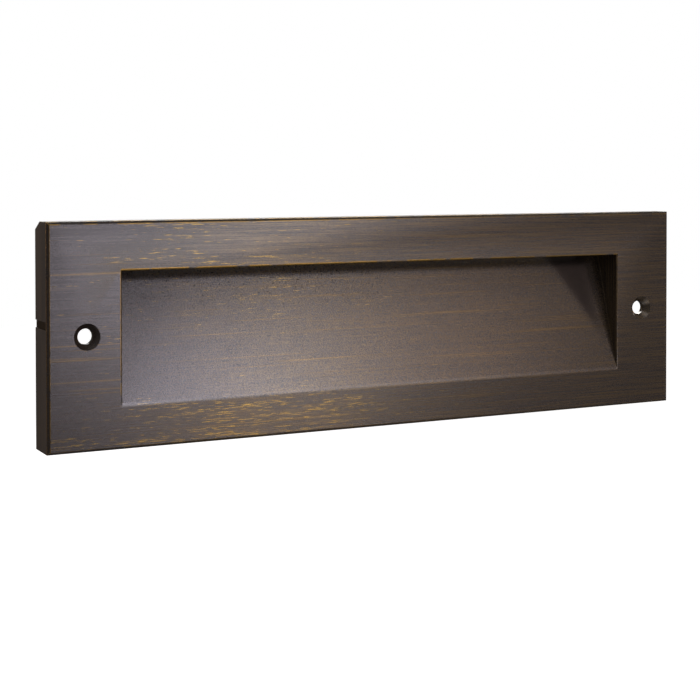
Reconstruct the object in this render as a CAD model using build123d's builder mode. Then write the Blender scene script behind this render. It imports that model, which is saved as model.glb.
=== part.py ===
"""A low, surface-mounted outdoor step light: a bronzed brass casting with a sloped scoop.

The light comes from a lens in the roof of the scoop and washes down its sloped face.
Behind the face, one sealed space holds the light bars above the scoop and the driver
below it, closed by a flat plate on the wall side. The two ends stay open to the wall:
they take the wall screws, and the left one takes the supply lead.

Frame, in millimetres: origin in the middle of the face that lies on the wall,
+X along the light to the right as it is seen, +Y into the wall, +Z up.
A depth here is a distance out from the wall, so a depth d lies at Y = -d.
"""
from build123d import *
from math import atan2, cos, floor, tan, radians
import os

os.makedirs("parts", exist_ok=True)

# ---- casting ----
length = 254.0
height = 76.2
depth = 14.0
front_wall = 4.0
side_wall = 2.5
bottom_rim = 2.6
top_rim = 1.7
front_chamfer = 0.9
scoop_edge_chamfer = 0.4
seal_bevel_depth = 5.6
seal_bevel_height = 2.8
bay_corner_radius = 2.0

# ---- scoop ----
scoop_side_margin = 25.5
scoop_top_margin = 16.7
scoop_bottom_margin = 14.3
scoop_back_wall = 1.4
slope_wall = 1.3
roof_wall = 2.8
scoop_end_wall = 6.1

# ---- wall screw holes and the slot for the supply lead ----
wall_hole_inset = 13.5
wall_hole_radius = 2.65
wall_hole_head_radius = 4.5
wall_hole_angle = 82.0
lead_slot_height = 2.6
lead_slot_centre = 4.0
lead_slot_web = 1.4

# ---- closing plate, its gasket and screws ----
plate_thickness = 1.5
plate_gap = 0.15
plate_gasket_thickness = 0.5
seat_width = 1.5
nose_wall = 1.3
nose_gap = 0.1
plate_screw_radius = 1.25
plate_screw_end_wall = 1.2
plate_screw_head_radius = 2.35
plate_screw_angle = 90.0
screw_hole_gap = 0.05
screw_tip_gap = 0.2
cross_recess_width = 0.7
cross_recess_length = 2.6
cross_recess_depth = 0.7
post_radius = 2.75
post_inset = 3.6
lug_lead_gap = 0.05
middle_post_drop = 10.0

# ---- passage that joins the two spaces at the right end ----
groove_inner_wall = 1.4
groove_width = 2.7
groove_front_gap = 0.6
groove_turn_height = 5.0

# ---- lens and its gasket ----
window_end_margin = 7.5
window_seat = 0.8
lens_gap = 0.15
lens_recess = 0.6
lens_flange_thickness = 1.5
lens_flange_overhang = 1.2
lens_side_gap = 0.4
lens_gasket_thickness = 0.5

# ---- light bars ----
carrier_middle_gap = 4.0
carrier_end_gap = 7.5
carrier_web = 1.5
carrier_leg = 1.0
carrier_side_gap = 0.3
thermal_pad_thickness = 0.5
led_board_thickness = 1.0
led_board_end_gap = 1.0
led_board_side_gap = 0.2
led_pitch = 7.0
led_width = 2.8
led_depth = 3.5
led_height = 0.7
rivet_radius = 1.0
rivet_head_radius = 1.6
rivet_head_height = 0.7
rivet_gap = 0.05
connector_length = 4.0
connector_side_wall = 0.15
connector_height = 2.1
connector_end_gap = 1.0

# ---- leads inside the light ----
lead_radius = 0.5
lead_spacing = 1.25
lead_bend = 2.4
lead_leg_gap = 0.2

# ---- driver ----
board_thickness = 1.2
board_back_depth = 3.4
board_end_gap = 9.5
board_post_gap = 3.25
board_bottom_gap = 1.0
board_low_part_room = 1.6
board_screw_inset = 4.0
board_post_radius = 2.2
board_post_hole_depth = 3.0
board_screw_radius = 1.0
board_screw_head_radius = 1.9
board_screw_head_height = 1.0
board_screw_length = 3.8
part_row_height = 13.0
resistor_row_height = 24.0
terminal_length = 8.5
terminal_width = 9.0
terminal_top_gap = 0.6
terminal_end_gap = 1.2
terminal_mouth_depth = 0.9
suppressor_radius = 3.5
suppressor_top_gap = 2.2
fuse_radius = 1.2
fuse_length = 6.0
fuse_drop = 7.5
rectifier_length = 8.5
rectifier_width = 6.4
rectifier_top_gap = 2.8
capacitor_radius = 3.15
capacitor_top_gap = 0.4
capacitor_base = 6.6
capacitor_base_height = 0.9
chip_length = 6.0
chip_width = 5.0
chip_top_gap = 3.8
inductor_side = 8.0
inductor_top_gap = 1.0
inductor_corner = 1.6
inductor_pot_radius = 3.0
inductor_pot_height = 0.4
resistor_length = 3.2
resistor_width = 1.6
resistor_height = 0.6
resistor_pitch = 6.0
resistor_count = 7
sheet_thickness = 0.3
sheet_margin = 1.0

# ---- grommet for the supply lead ----
grommet_height = 14.0
grommet_side_gap = 0.3
grommet_neck_depth = 0.7
grommet_flange_thickness = 1.2
grommet_wall = 1.4
grommet_gap = 0.05

# ---- plug that fills the slot until a lead comes in through it ----
plug_gap = 0.05
plug_face_recess = 0.3
plug_wall_gap = 0.3
plug_lip_thickness = 1.0
plug_lip_overhang = 0.9

# ---- places worked out from the sizes ----
scoop_half = length / 2 - scoop_side_margin
scoop_top = height / 2 - scoop_top_margin
scoop_bottom = -height / 2 + scoop_bottom_margin
scoop_depth = depth - scoop_back_wall
slope_rate = scoop_depth / (scoop_top - scoop_bottom)
slope_wall_depth = slope_wall / cos(atan2(scoop_depth, scoop_top - scoop_bottom))

recess_depth = plate_thickness + plate_gasket_thickness
recess_half = scoop_half + scoop_end_wall
recess_top = height / 2 - seal_bevel_height - top_rim
recess_bottom = -height / 2 + bottom_rim
bay_floor = depth - front_wall
bay_bottom = recess_bottom + seat_width
bay_middle_depth = (recess_depth + bay_floor) / 2

nose_bottom = scoop_top - (recess_depth + nose_wall - scoop_back_wall) / slope_rate
driver_bay_top = nose_bottom - nose_gap - seat_width
light_bay_bottom = scoop_top + roof_wall
light_bay_top = recess_top - seat_width
nose_top = light_bay_bottom - seat_width - nose_gap

wall_hole_x = length / 2 - wall_hole_inset
end_bay_outer = length / 2 - side_wall
lug_x = scoop_half - post_radius
post_x = scoop_half - post_inset
top_screw_z = light_bay_top - post_radius
middle_screw_z = driver_bay_top - middle_post_drop
bottom_screw_z = bay_bottom + post_inset
top_screws = [(-lug_x, top_screw_z), (0, top_screw_z), (lug_x, top_screw_z)]
lower_screws = [(x, z) for z in (middle_screw_z, bottom_screw_z) for x in (-post_x, 0, post_x)]

groove_inner = scoop_half + groove_inner_wall
groove_outer = groove_inner + groove_width
groove_x = (groove_inner + groove_outer) / 2
groove_floor = bay_floor - groove_front_gap

window_half = scoop_half - window_end_margin
lens_flange_half = window_half + lens_flange_overhang
lens_flange_width = bay_floor - recess_depth - 2 * lens_side_gap
window_width = lens_flange_width - 2 * window_seat
lens_flange_bottom = light_bay_bottom + lens_gasket_thickness
lens_flange_top = lens_flange_bottom + lens_flange_thickness
carrier_top = light_bay_top - thermal_pad_thickness
carrier_underside = carrier_top - carrier_web
carrier_width = bay_floor - recess_depth - 2 * carrier_side_gap
carrier_inner = carrier_middle_gap
carrier_outer = scoop_half - carrier_end_gap
led_board_inner = carrier_inner + led_board_end_gap
led_board_outer = carrier_outer - led_board_end_gap
led_board_width = carrier_width - 2 * carrier_leg - 2 * led_board_side_gap
led_board_face = carrier_underside - led_board_thickness
led_row_inner = led_board_inner + 2 * connector_end_gap + connector_length
led_row_outer = led_board_outer - 2 * connector_end_gap - connector_length
led_count = floor((led_row_outer - led_row_inner - led_width) / led_pitch) + 1
led_row_middle = (led_row_inner + led_row_outer) / 2
led_first = led_row_middle - (led_count - 1) * led_pitch / 2
led_row = [led_first + led_pitch * n for n in range(led_count)]
rivet_row = [led_row[0] + led_pitch / 2, led_row[-1] - led_pitch / 2]
inner_connector_x = led_board_inner + connector_end_gap + connector_length / 2
outer_connector_x = led_board_outer - connector_end_gap - connector_length / 2

leg_face_depth = bay_floor - carrier_side_gap - carrier_leg
front_lead_depth = leg_face_depth - lead_leg_gap - lead_radius
rear_lead_depth = front_lead_depth - lead_spacing
lead_depths = {"positive": front_lead_depth, "negative": rear_lead_depth}
lead_pair_depth = (front_lead_depth + rear_lead_depth) / 2
connector_width = lead_spacing + 2 * lead_radius + 2 * connector_side_wall
lead_z = led_board_face - connector_height / 2
lug_end_depth = rear_lead_depth - lead_radius - lug_lead_gap
plate_screw_length = lug_end_depth - plate_screw_end_wall

board_front_depth = board_back_depth + board_thickness
board_left = -scoop_half + board_end_gap
board_right = -post_radius - board_post_gap
board_length = board_right - board_left
part_room = bay_floor - board_front_depth
board_bottom = bay_bottom + board_bottom_gap
board_top_depth = board_front_depth + board_low_part_room
board_top = scoop_top - (board_top_depth + slope_wall_depth - scoop_back_wall) / slope_rate
board_screw_x = [board_left + board_screw_inset, board_right - board_screw_inset]
board_screw_z = [board_bottom + board_screw_inset, board_top - board_screw_inset]
board_screws = [(x, z) for x in board_screw_x for z in board_screw_z]
part_row_z = board_bottom + part_row_height
part_row_lengths = [
    terminal_length,
    2 * suppressor_radius,
    rectifier_length,
    capacitor_base,
    chip_length,
    inductor_side,
    capacitor_base,
    terminal_length,
]
part_row_space = board_length - 2 * terminal_end_gap - sum(part_row_lengths)
part_spacing = part_row_space / (len(part_row_lengths) - 1)
part_row_x = [
    board_left + terminal_end_gap + sum(part_row_lengths[:n]) + n * part_spacing + part_length / 2
    for n, part_length in enumerate(part_row_lengths)
]
input_terminal_x, suppressor_x, rectifier_x, input_capacitor_x = part_row_x[:4]
chip_x, inductor_x, output_capacitor_x, output_terminal_x = part_row_x[4:]
resistor_row_x = (suppressor_x + output_capacitor_x) / 2
grommet_z = bay_bottom + grommet_height
grommet_flange_radius = (bay_floor - recess_depth) / 2 - grommet_side_gap
grommet_body_radius = grommet_flange_radius - grommet_neck_depth
grommet_bore_radius = grommet_body_radius - grommet_wall


def slope_back(z):
    """Depth of the hidden side of the scoop's sloped wall at a height z."""
    return scoop_back_wall + (scoop_top - z) * slope_rate - slope_wall_depth


full_depth_z = scoop_top - (bay_floor + slope_wall_depth - scoop_back_wall) / slope_rate


# ---- body casting ----
with BuildPart() as body_casting:
    with BuildSketch(Plane.XZ):
        Rectangle(length, height)
    extrude(amount=depth)
    chamfer(body_casting.faces().sort_by(Axis.Y)[0].edges(), front_chamfer)

    # bevel along the top, where the bead of sealant goes
    with BuildSketch(Plane.YZ.offset(-length / 2)):
        with BuildLine():
            Polyline(
                (0, height / 2),
                (-seal_bevel_depth, height / 2),
                (0, height / 2 - seal_bevel_height),
                close=True,
            )
        make_face()
    extrude(amount=length, mode=Mode.SUBTRACT)

    # recess for the closing plate, around the raised nose behind the scoop
    with BuildSketch(Plane.XZ):
        with Locations((0, (recess_top + recess_bottom) / 2)):
            Rectangle(2 * recess_half, recess_top - recess_bottom)
        with Locations((0, (nose_top + nose_bottom) / 2)):
            Rectangle(2 * groove_inner, nose_top - nose_bottom, mode=Mode.SUBTRACT)
    extrude(amount=recess_depth, mode=Mode.SUBTRACT)

    # space for the light bars, above the scoop
    with BuildSketch(Plane.XZ.offset(recess_depth)):
        with Locations((0, (light_bay_top + light_bay_bottom) / 2)):
            Rectangle(2 * scoop_half, light_bay_top - light_bay_bottom)
    extrude(amount=bay_floor - recess_depth, mode=Mode.SUBTRACT)

    # space for the driver, behind and below the slope
    with BuildSketch(Plane.YZ.offset(-scoop_half)):
        with BuildLine():
            Polyline(
                (-recess_depth, bay_bottom),
                (-bay_floor, bay_bottom),
                (-bay_floor, full_depth_z),
                (-slope_back(driver_bay_top), driver_bay_top),
                (-recess_depth, driver_bay_top),
                close=True,
            )
        make_face()
    extrude(amount=2 * scoop_half, mode=Mode.SUBTRACT)

    # passage for the leads, around the right end of the scoop
    with BuildSketch(Plane.XZ.offset(recess_depth)):
        groove_top = lead_z + groove_turn_height / 2
        groove_bottom = part_row_z - groove_turn_height / 2
        turn_width = groove_outer - scoop_half
        with Locations((groove_x, (groove_top + groove_bottom) / 2)):
            Rectangle(groove_width, groove_top - groove_bottom)
        with Locations((groove_outer - turn_width / 2, lead_z),
                       (groove_outer - turn_width / 2, part_row_z)):
            Rectangle(turn_width, groove_turn_height)
    extrude(amount=groove_floor - recess_depth, mode=Mode.SUBTRACT)

    # the two ends, open to the wall
    with BuildSketch(Plane.XZ):
        end_bay_width = end_bay_outer - recess_half
        end_bay_x = (end_bay_outer + recess_half) / 2
        with Locations((-end_bay_x, (recess_top + recess_bottom) / 2),
                       (end_bay_x, (recess_top + recess_bottom) / 2)):
            RectangleRounded(end_bay_width, recess_top - recess_bottom, bay_corner_radius)
    extrude(amount=bay_floor, mode=Mode.SUBTRACT)

    # lugs and posts for the plate screws, which stop the plate once the gasket is squeezed,
    # and posts for the driver board
    with BuildSketch(Plane.XZ.offset(plate_thickness)):
        with Locations(*top_screws):
            Rectangle(2 * post_radius, 2 * post_radius)
    extrude(amount=lug_end_depth - plate_thickness)
    with BuildSketch(Plane.XZ.offset(plate_thickness)):
        with Locations(*lower_screws):
            Circle(post_radius)
    extrude(amount=bay_floor - plate_thickness)
    with BuildSketch(Plane.XZ.offset(board_front_depth)):
        with Locations(*board_screws):
            Circle(board_post_radius)
    extrude(amount=bay_floor - board_front_depth)

    # the scoop, cut after the posts so that it trims them
    with BuildSketch(Plane.YZ.offset(-scoop_half)):
        with BuildLine():
            Polyline(
                (-scoop_back_wall, scoop_top),
                (-2 * depth, scoop_top),
                (-2 * depth, scoop_bottom - depth / slope_rate),
                (-depth, scoop_bottom),
                close=True,
            )
        make_face()
    extrude(amount=2 * scoop_half, mode=Mode.SUBTRACT)

    # broken edges along the top and the two ends of the scoop's mouth
    scoop_mouth = [
        edge
        for edge in body_casting.faces().sort_by(Axis.Y)[0].inner_wires()[0].edges()
        if edge.center().Z > scoop_bottom + scoop_edge_chamfer
    ]
    chamfer(scoop_mouth, scoop_edge_chamfer)

    # window for the lens in the roof of the scoop
    with BuildSketch(Plane.XY.offset(scoop_top)):
        with Locations((0, -bay_middle_depth)):
            SlotOverall(2 * window_half, window_width)
    extrude(amount=roof_wall, mode=Mode.SUBTRACT)

    # tapped holes
    with BuildSketch(Plane.XZ.offset(plate_thickness)):
        with Locations(*top_screws, *lower_screws):
            Circle(plate_screw_radius + screw_hole_gap)
    extrude(amount=plate_screw_length + screw_tip_gap - plate_thickness, mode=Mode.SUBTRACT)
    with BuildSketch(Plane.XZ.offset(board_front_depth)):
        with Locations(*board_screws):
            Circle(board_screw_radius + screw_hole_gap)
    extrude(amount=board_post_hole_depth, mode=Mode.SUBTRACT)

    # countersunk holes for the wall screws
    with Locations(Plane.XZ.offset(depth)):
        with Locations((-wall_hole_x, 0), (wall_hole_x, 0)):
            CounterSinkHole(wall_hole_radius, wall_hole_head_radius, depth, wall_hole_angle)

    # slot through the left side, from the wall almost to the face
    with BuildSketch(Plane.XZ):
        slot_width = 2 * side_wall
        with Locations((-length / 2 + slot_width / 2, lead_slot_centre)):
            Rectangle(slot_width, lead_slot_height)
    extrude(amount=depth - lead_slot_web, mode=Mode.SUBTRACT)

    # hole for the grommet, from the left end into the driver space
    with BuildSketch(Plane.YZ.offset(-recess_half)):
        with Locations((-bay_middle_depth, grommet_z)):
            Circle(grommet_body_radius + grommet_gap)
    extrude(amount=scoop_end_wall, mode=Mode.SUBTRACT)
body_casting.part.label = "body_casting"
export_step(body_casting.part, "parts/body_casting.step")

# ---- lens gasket ----
with BuildPart() as lens_gasket:
    with BuildSketch(Plane.XY.offset(light_bay_bottom)):
        with Locations((0, -bay_middle_depth)):
            Rectangle(2 * lens_flange_half, lens_flange_width)
            SlotOverall(2 * window_half, window_width, mode=Mode.SUBTRACT)
    extrude(amount=lens_gasket_thickness)
lens_gasket.part.label = "lens_gasket"
export_step(lens_gasket.part, "parts/lens_gasket.step")

# ---- lens: a flange that sits on the gasket and a bar that fills the window ----
with BuildPart() as lens:
    with BuildSketch(Plane.XY.offset(lens_flange_bottom)):
        with Locations((0, -bay_middle_depth)):
            Rectangle(2 * lens_flange_half, lens_flange_width)
    extrude(amount=lens_flange_thickness)
    with BuildSketch(Plane.XY.offset(scoop_top + lens_recess)):
        with Locations((0, -bay_middle_depth)):
            SlotOverall(2 * (window_half - lens_gap), window_width - 2 * lens_gap)
    extrude(amount=lens_flange_bottom - scoop_top - lens_recess)
lens.part.label = "lens"
export_step(lens.part, "parts/lens.step")

# ---- the two light bars: a channel, its heat pad and its board on each side ----
for side, side_name in ((-1, "left"), (1, "right")):
    bar_x = side * (carrier_inner + carrier_outer) / 2
    board_x = side * (led_board_inner + led_board_outer) / 2
    rivets = [(side * x, -bay_middle_depth) for x in rivet_row]

    with BuildPart() as led_carrier:
        with BuildSketch(Plane.XY.offset(lens_flange_top)):
            with Locations((bar_x, -bay_middle_depth)):
                Rectangle(carrier_outer - carrier_inner, carrier_width)
        extrude(amount=carrier_top - lens_flange_top)
        with BuildSketch(Plane.XY.offset(lens_flange_top)):
            with Locations((bar_x, -bay_middle_depth)):
                Rectangle(carrier_outer - carrier_inner, carrier_width - 2 * carrier_leg)
        extrude(amount=carrier_underside - lens_flange_top, mode=Mode.SUBTRACT)
        with BuildSketch(Plane.XY.offset(carrier_underside)):
            with Locations(*rivets):
                Circle(rivet_radius + rivet_gap)
        extrude(amount=carrier_web, mode=Mode.SUBTRACT)
    led_carrier.part.label = "led_carrier_" + side_name
    export_step(led_carrier.part, "parts/led_carrier_" + side_name + ".step")

    with BuildPart() as thermal_pad:
        with BuildSketch(Plane.XY.offset(carrier_top)):
            with Locations((bar_x, -bay_middle_depth)):
                Rectangle(carrier_outer - carrier_inner, carrier_width)
        extrude(amount=thermal_pad_thickness)
    thermal_pad.part.label = "thermal_pad_" + side_name
    export_step(thermal_pad.part, "parts/thermal_pad_" + side_name + ".step")

    with BuildPart() as led_board:
        with BuildSketch(Plane.XY.offset(led_board_face)):
            with Locations((board_x, -bay_middle_depth)):
                Rectangle(led_board_outer - led_board_inner, led_board_width)
            with Locations(*rivets):
                Circle(rivet_radius + rivet_gap, mode=Mode.SUBTRACT)
        extrude(amount=led_board_thickness)
    led_board.part.label = "led_board_" + side_name
    export_step(led_board.part, "parts/led_board_" + side_name + ".step")

# ---- light-emitting diodes, facing down ----
with BuildPart() as led_packages:
    with BuildSketch(Plane.XY.offset(led_board_face)):
        with Locations(*[(side * x, -bay_middle_depth) for side in (-1, 1) for x in led_row]):
            Rectangle(led_width, led_depth)
    extrude(amount=-led_height)
led_packages.part.label = "led_packages"
export_step(led_packages.part, "parts/led_packages.step")

# ---- rivets that hold the boards up against their channels ----
with BuildPart() as board_rivets:
    rivet_places = [(side * x, -bay_middle_depth) for side in (-1, 1) for x in rivet_row]
    with BuildSketch(Plane.XY.offset(led_board_face)):
        with Locations(*rivet_places):
            Circle(rivet_head_radius)
    extrude(amount=-rivet_head_height)
    with BuildSketch(Plane.XY.offset(led_board_face)):
        with Locations(*rivet_places):
            Circle(rivet_radius)
    extrude(amount=carrier_top - led_board_face)
board_rivets.part.label = "board_rivets"
export_step(board_rivets.part, "parts/board_rivets.step")

# ---- lead connectors under the boards ----
with BuildPart() as lead_connectors:
    connector_row = [-inner_connector_x, inner_connector_x, outer_connector_x]
    with BuildSketch(Plane.XY.offset(led_board_face)):
        with Locations(*[(x, -lead_pair_depth) for x in connector_row]):
            Rectangle(connector_length, connector_width)
    extrude(amount=-connector_height)
lead_connectors.part.label = "lead_connectors"
export_step(lead_connectors.part, "parts/lead_connectors.step")

# ---- leads: a jumper between the boards, and the run down to the driver ----
for pole, pole_depth in lead_depths.items():
    with BuildPart() as jumper_lead:
        jumper_start = -inner_connector_x + connector_length / 2
        with BuildSketch(Plane.YZ.offset(jumper_start)):
            with Locations((-pole_depth, lead_z)):
                Circle(lead_radius)
        extrude(amount=-2 * jumper_start)
    jumper_lead.part.label = "jumper_lead_" + pole
    export_step(jumper_lead.part, "parts/jumper_lead_" + pole + ".step")

    with BuildPart() as led_lead:
        lead_start = outer_connector_x + connector_length / 2
        lead_end = output_terminal_x + terminal_length / 2
        with BuildLine(Plane.XZ.offset(pole_depth)):
            FilletPolyline(
                (lead_start, lead_z),
                (groove_x, lead_z),
                (groove_x, part_row_z),
                (lead_end, part_row_z),
                radius=lead_bend,
            )
        with BuildSketch(Plane.YZ.offset(lead_start)):
            with Locations((-pole_depth, lead_z)):
                Circle(lead_radius)
        sweep()
    led_lead.part.label = "led_lead_" + pole
    export_step(led_lead.part, "parts/led_lead_" + pole + ".step")

# ---- driver board and its screws ----
with BuildPart() as driver_board:
    with BuildSketch(Plane.XZ.offset(board_back_depth)):
        with Locations(((board_left + board_right) / 2, (board_top + board_bottom) / 2)):
            Rectangle(board_length, board_top - board_bottom)
        with Locations(*board_screws):
            Circle(board_screw_radius + screw_hole_gap, mode=Mode.SUBTRACT)
    extrude(amount=board_thickness)
driver_board.part.label = "driver_board"
export_step(driver_board.part, "parts/driver_board.step")

with BuildPart() as driver_board_screws:
    with BuildSketch(Plane.XZ.offset(board_back_depth)):
        with Locations(*board_screws):
            Circle(board_screw_head_radius)
    extrude(amount=-board_screw_head_height)
    with BuildSketch(Plane.XZ.offset(board_back_depth)):
        with Locations(*board_screws):
            Circle(board_screw_radius)
    extrude(amount=board_screw_length)
driver_board_screws.part.label = "driver_board_screws"
export_step(driver_board_screws.part, "parts/driver_board_screws.step")

# ---- lead terminals at the two ends of the driver board; the input one has open mouths ----
for terminal_name, terminal_x, is_open in (
    ("input_terminal", input_terminal_x, True),
    ("output_terminal", output_terminal_x, False),
):
    with BuildPart() as terminal:
        with BuildSketch(Plane.XZ.offset(board_front_depth)):
            with Locations((terminal_x, part_row_z)):
                Rectangle(terminal_length, terminal_width)
        extrude(amount=part_room - terminal_top_gap)
        if is_open:
            with BuildSketch(Plane.YZ.offset(terminal_x - terminal_length / 2)):
                with Locations(*[(-d, part_row_z) for d in lead_depths.values()]):
                    Circle(lead_radius)
            extrude(amount=terminal_mouth_depth, mode=Mode.SUBTRACT)
    terminal.part.label = terminal_name
    export_step(terminal.part, "parts/" + terminal_name + ".step")

# ---- driver components ----
with BuildPart() as surge_suppressor:
    with BuildSketch(Plane.XZ.offset(board_front_depth)):
        with Locations((suppressor_x, part_row_z)):
            Circle(suppressor_radius)
    extrude(amount=part_room - suppressor_top_gap)
surge_suppressor.part.label = "surge_suppressor"
export_step(surge_suppressor.part, "parts/surge_suppressor.step")

with BuildPart() as input_fuse:
    with BuildSketch(Plane.YZ.offset(suppressor_x - fuse_length / 2)):
        with Locations((-board_front_depth - fuse_radius, part_row_z - fuse_drop)):
            Circle(fuse_radius)
    extrude(amount=fuse_length)
input_fuse.part.label = "input_fuse"
export_step(input_fuse.part, "parts/input_fuse.step")

with BuildPart() as bridge_rectifier:
    with BuildSketch(Plane.XZ.offset(board_front_depth)):
        with Locations((rectifier_x, part_row_z)):
            Rectangle(rectifier_length, rectifier_width)
    extrude(amount=part_room - rectifier_top_gap)
bridge_rectifier.part.label = "bridge_rectifier"
export_step(bridge_rectifier.part, "parts/bridge_rectifier.step")

for capacitor_name, capacitor_x in (
    ("input_capacitor", input_capacitor_x),
    ("output_capacitor", output_capacitor_x),
):
    with BuildPart() as capacitor:
        with BuildSketch(Plane.XZ.offset(board_front_depth)):
            with Locations((capacitor_x, part_row_z)):
                Rectangle(capacitor_base, capacitor_base)
        extrude(amount=capacitor_base_height)
        with BuildSketch(Plane.XZ.offset(board_front_depth + capacitor_base_height)):
            with Locations((capacitor_x, part_row_z)):
                Circle(capacitor_radius)
        extrude(amount=part_room - capacitor_top_gap - capacitor_base_height)
    capacitor.part.label = capacitor_name
    export_step(capacitor.part, "parts/" + capacitor_name + ".step")

with BuildPart() as driver_chip:
    with BuildSketch(Plane.XZ.offset(board_front_depth)):
        with Locations((chip_x, part_row_z)):
            Rectangle(chip_length, chip_width)
    extrude(amount=part_room - chip_top_gap)
driver_chip.part.label = "driver_chip"
export_step(driver_chip.part, "parts/driver_chip.step")

with BuildPart() as inductor:
    with BuildSketch(Plane.XZ.offset(board_front_depth)):
        with Locations((inductor_x, part_row_z)):
            Rectangle(inductor_side, inductor_side)
    inductor_height = part_room - inductor_top_gap - inductor_pot_height
    extrude(amount=inductor_height)
    chamfer(inductor.edges().filter_by(Axis.Y), inductor_corner)
    with BuildSketch(Plane.XZ.offset(board_front_depth + inductor_height)):
        with Locations((inductor_x, part_row_z)):
            Circle(inductor_pot_radius)
    extrude(amount=inductor_pot_height)
inductor.part.label = "inductor"
export_step(inductor.part, "parts/inductor.step")

with BuildPart() as chip_resistors:
    with BuildSketch(Plane.XZ.offset(board_front_depth)):
        with Locations((resistor_row_x, board_bottom + resistor_row_height)):
            with GridLocations(resistor_pitch, resistor_pitch, resistor_count, 1):
                Rectangle(resistor_width, resistor_length)
    extrude(amount=resistor_height)
chip_resistors.part.label = "chip_resistors"
export_step(chip_resistors.part, "parts/chip_resistors.step")

# ---- insulating sheet between the driver board and the closing plate ----
with BuildPart() as insulating_sheet:
    sheet_left = board_left - sheet_margin
    sheet_right = board_right + sheet_margin
    sheet_top = board_top + sheet_margin
    with BuildSketch(Plane.XZ.offset(plate_thickness)):
        with Locations(((sheet_left + sheet_right) / 2, (sheet_top + board_bottom) / 2)):
            Rectangle(sheet_right - sheet_left, sheet_top - board_bottom)
    extrude(amount=sheet_thickness)
insulating_sheet.part.label = "insulating_sheet"
export_step(insulating_sheet.part, "parts/insulating_sheet.step")

# ---- gasket under the closing plate ----
plate_half = recess_half - plate_gap
plate_top = recess_top - plate_gap
plate_bottom = recess_bottom + plate_gap
plate_middle = (plate_top + plate_bottom) / 2
nose_middle = (nose_top + nose_bottom) / 2
nose_opening_half = groove_inner + nose_gap
nose_opening_height = nose_top - nose_bottom + 2 * nose_gap

with BuildPart() as plate_gasket:
    with BuildSketch(Plane.XZ.offset(plate_thickness)):
        with Locations((0, plate_middle)):
            Rectangle(2 * plate_half, plate_top - plate_bottom)
        with Locations((0, nose_middle)):
            Rectangle(2 * nose_opening_half, nose_opening_height, mode=Mode.SUBTRACT)
        with Locations((0, (light_bay_top + light_bay_bottom) / 2)):
            Rectangle(2 * scoop_half, light_bay_top - light_bay_bottom, mode=Mode.SUBTRACT)
        with Locations((0, (driver_bay_top + bay_bottom) / 2)):
            Rectangle(2 * scoop_half, driver_bay_top - bay_bottom, mode=Mode.SUBTRACT)
    extrude(amount=plate_gasket_thickness)
plate_gasket.part.label = "plate_gasket"
export_step(plate_gasket.part, "parts/plate_gasket.step")

# ---- closing plate ----
screw_cone = (plate_screw_head_radius - plate_screw_radius) / tan(radians(plate_screw_angle / 2))
with BuildPart() as closing_plate:
    with BuildSketch(Plane.XZ):
        with Locations((0, plate_middle)):
            Rectangle(2 * plate_half, plate_top - plate_bottom)
        with Locations((0, nose_middle)):
            Rectangle(2 * nose_opening_half, nose_opening_height, mode=Mode.SUBTRACT)
        with Locations(*top_screws, *lower_screws):
            Circle(plate_screw_radius + screw_hole_gap, mode=Mode.SUBTRACT)
    extrude(amount=plate_thickness)
    for x, z in top_screws + lower_screws:
        with Locations(Location((x, 0, z), (90, 0, 0))):
            Cone(
                plate_screw_head_radius + screw_hole_gap,
                plate_screw_radius + screw_hole_gap,
                screw_cone,
                align=(Align.CENTER, Align.CENTER, Align.MIN),
                mode=Mode.SUBTRACT,
            )
closing_plate.part.label = "closing_plate"
export_step(closing_plate.part, "parts/closing_plate.step")

# ---- countersunk screws of the closing plate ----
with BuildPart() as plate_screws:
    for x, z in top_screws + lower_screws:
        with Locations(Location((x, 0, z), (90, 0, 0))):
            Cone(
                plate_screw_head_radius,
                plate_screw_radius,
                screw_cone,
                align=(Align.CENTER, Align.CENTER, Align.MIN),
            )
            Cylinder(
                plate_screw_radius,
                plate_screw_length,
                align=(Align.CENTER, Align.CENTER, Align.MIN),
            )
    with BuildSketch(Plane.XZ):
        with Locations(*top_screws, *lower_screws):
            Rectangle(cross_recess_length, cross_recess_width)
            Rectangle(cross_recess_width, cross_recess_length)
    extrude(amount=cross_recess_depth, mode=Mode.SUBTRACT)
plate_screws.part.label = "plate_screws"
export_step(plate_screws.part, "parts/plate_screws.step")

# ---- grommet for the supply lead ----
with BuildPart() as lead_grommet:
    with BuildSketch(Plane.YZ.offset(-recess_half)):
        with Locations((-bay_middle_depth, grommet_z)):
            Circle(grommet_body_radius)
    extrude(amount=scoop_end_wall)
    with BuildSketch(Plane.YZ.offset(-recess_half - grommet_flange_thickness)):
        with Locations((-bay_middle_depth, grommet_z)):
            Circle(grommet_flange_radius)
    extrude(amount=grommet_flange_thickness)
    with BuildSketch(Plane.YZ.offset(-scoop_half)):
        with Locations((-bay_middle_depth, grommet_z)):
            Circle(grommet_flange_radius)
    extrude(amount=grommet_flange_thickness)
    with BuildSketch(Plane.YZ.offset(-recess_half - grommet_flange_thickness)):
        with Locations((-bay_middle_depth, grommet_z)):
            Circle(grommet_bore_radius)
    extrude(amount=scoop_end_wall + 2 * grommet_flange_thickness, mode=Mode.SUBTRACT)
lead_grommet.part.label = "lead_grommet"
export_step(lead_grommet.part, "parts/lead_grommet.step")

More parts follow.
